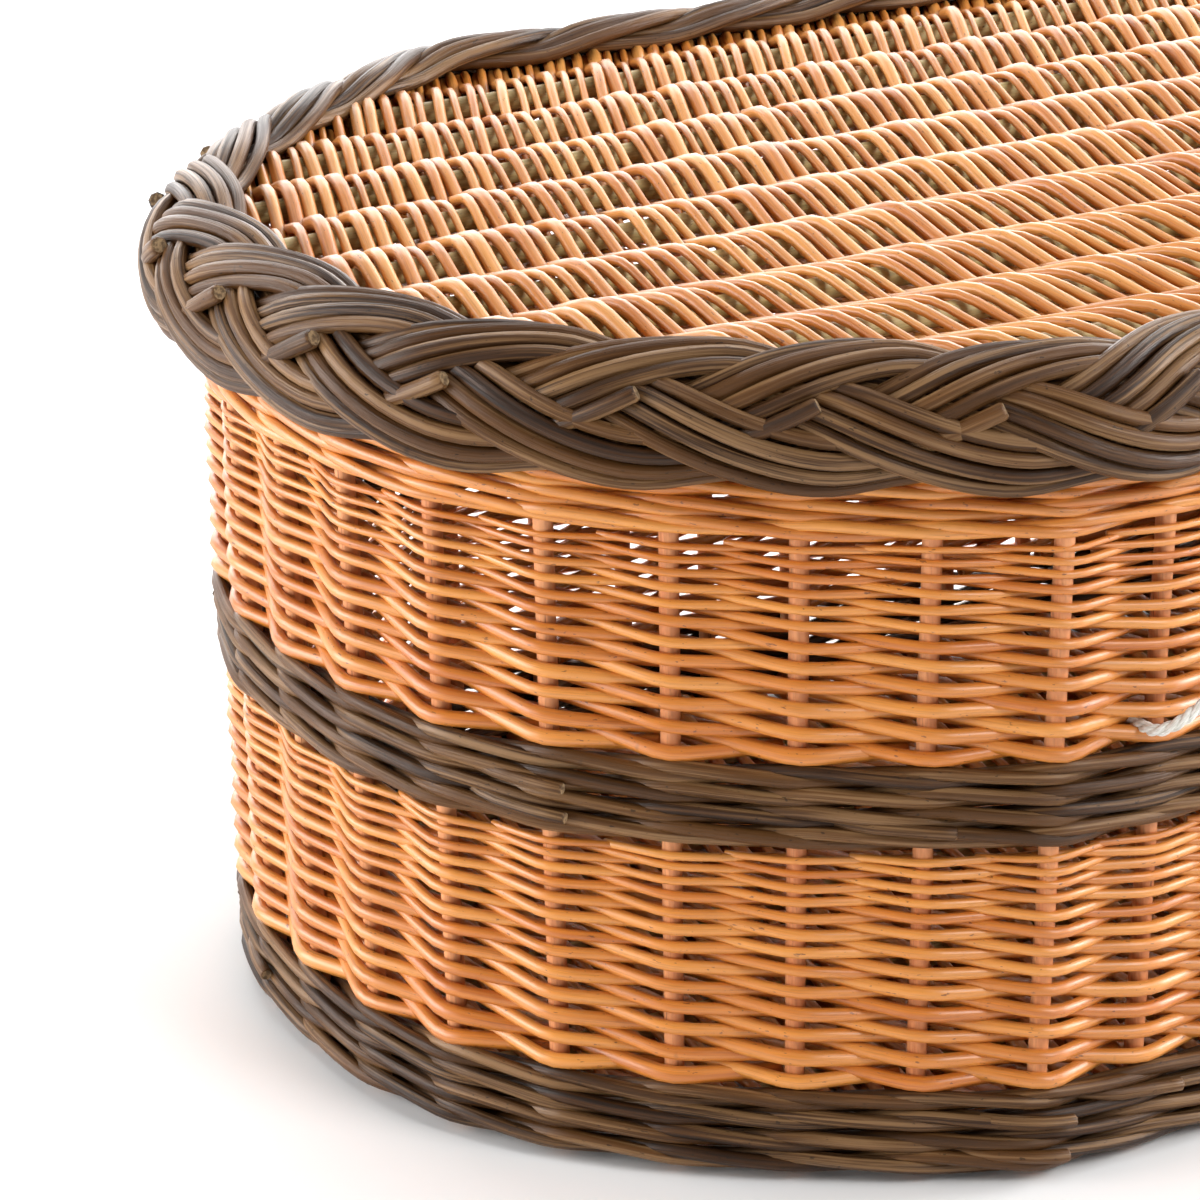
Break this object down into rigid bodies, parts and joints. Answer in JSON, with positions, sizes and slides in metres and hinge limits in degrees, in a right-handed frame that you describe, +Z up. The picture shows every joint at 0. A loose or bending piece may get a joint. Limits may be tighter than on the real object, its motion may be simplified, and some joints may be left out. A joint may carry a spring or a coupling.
{
  "type": "picnic basket",
  "caption": "Oblong round-ended willow basket with randed walls, brown wales and a hinged woven lid whose thick plaited border overhangs the rim; a cotton cord ties it shut.",
  "frame": {"origin": "middle of the footprint, on the surface the basket stands on", "axes": "+X along the length, +Y to the hinged back, +Z up"},
  "size_m": [0.6378, 0.4028, 0.2398],
  "materials": {
    "buff_willow": "satin peeled buff willow",
    "brown_willow": "satin brown willow with its bark",
    "peeled_willow": "satin pale peeled willow",
    "cotton_cord": "matt twisted cotton"
  },
  "bodies": {
    "basket": {"base_frame": "brown_willow", "base_weave": "buff_willow", "base_stick_1": "peeled_willow", "base_stick_2": "peeled_willow", "base_stick_3": "peeled_willow", "base_stick_4": "peeled_willow", "base_stick_5": "peeled_willow", "foot_wale": "brown_willow", "front_stakes": "peeled_willow", "back_stakes": "peeled_willow", "left_end_stakes": "peeled_willow", "right_end_stakes": "peeled_willow", "lower_rand": "buff_willow", "middle_wale": "brown_willow", "upper_rand": "buff_willow", "top_wale": "buff_willow", "body_border": "buff_willow", "hinge_rod": "peeled_willow", "rod_holders": "buff_willow", "tie_cord": "cotton_cord", "tie_knots": "cotton_cord"},
    "lid": {"lid_frame": "brown_willow", "lid_weave": "buff_willow", "lid_stick_1": "peeled_willow", "lid_stick_2": "peeled_willow", "lid_stick_3": "peeled_willow", "lid_stick_4": "peeled_willow", "lid_stick_5": "peeled_willow", "lid_stick_6": "peeled_willow", "lid_stick_7": "peeled_willow", "lid_stick_8": "peeled_willow", "lid_stick_9": "peeled_willow", "lid_plait": "brown_willow", "hinge_loops": "brown_willow", "tie_peg": "peeled_willow"}
  },
  "joints": [
    {"name": "lid_hinge", "type": "hinge", "parent": "basket", "child": "lid", "pos_m": [0, 0.19488, 0.1964], "axis": [-1, 0, 0], "range_deg": [0, 100], "deforming": ["tie_cord"]}
  ]
}
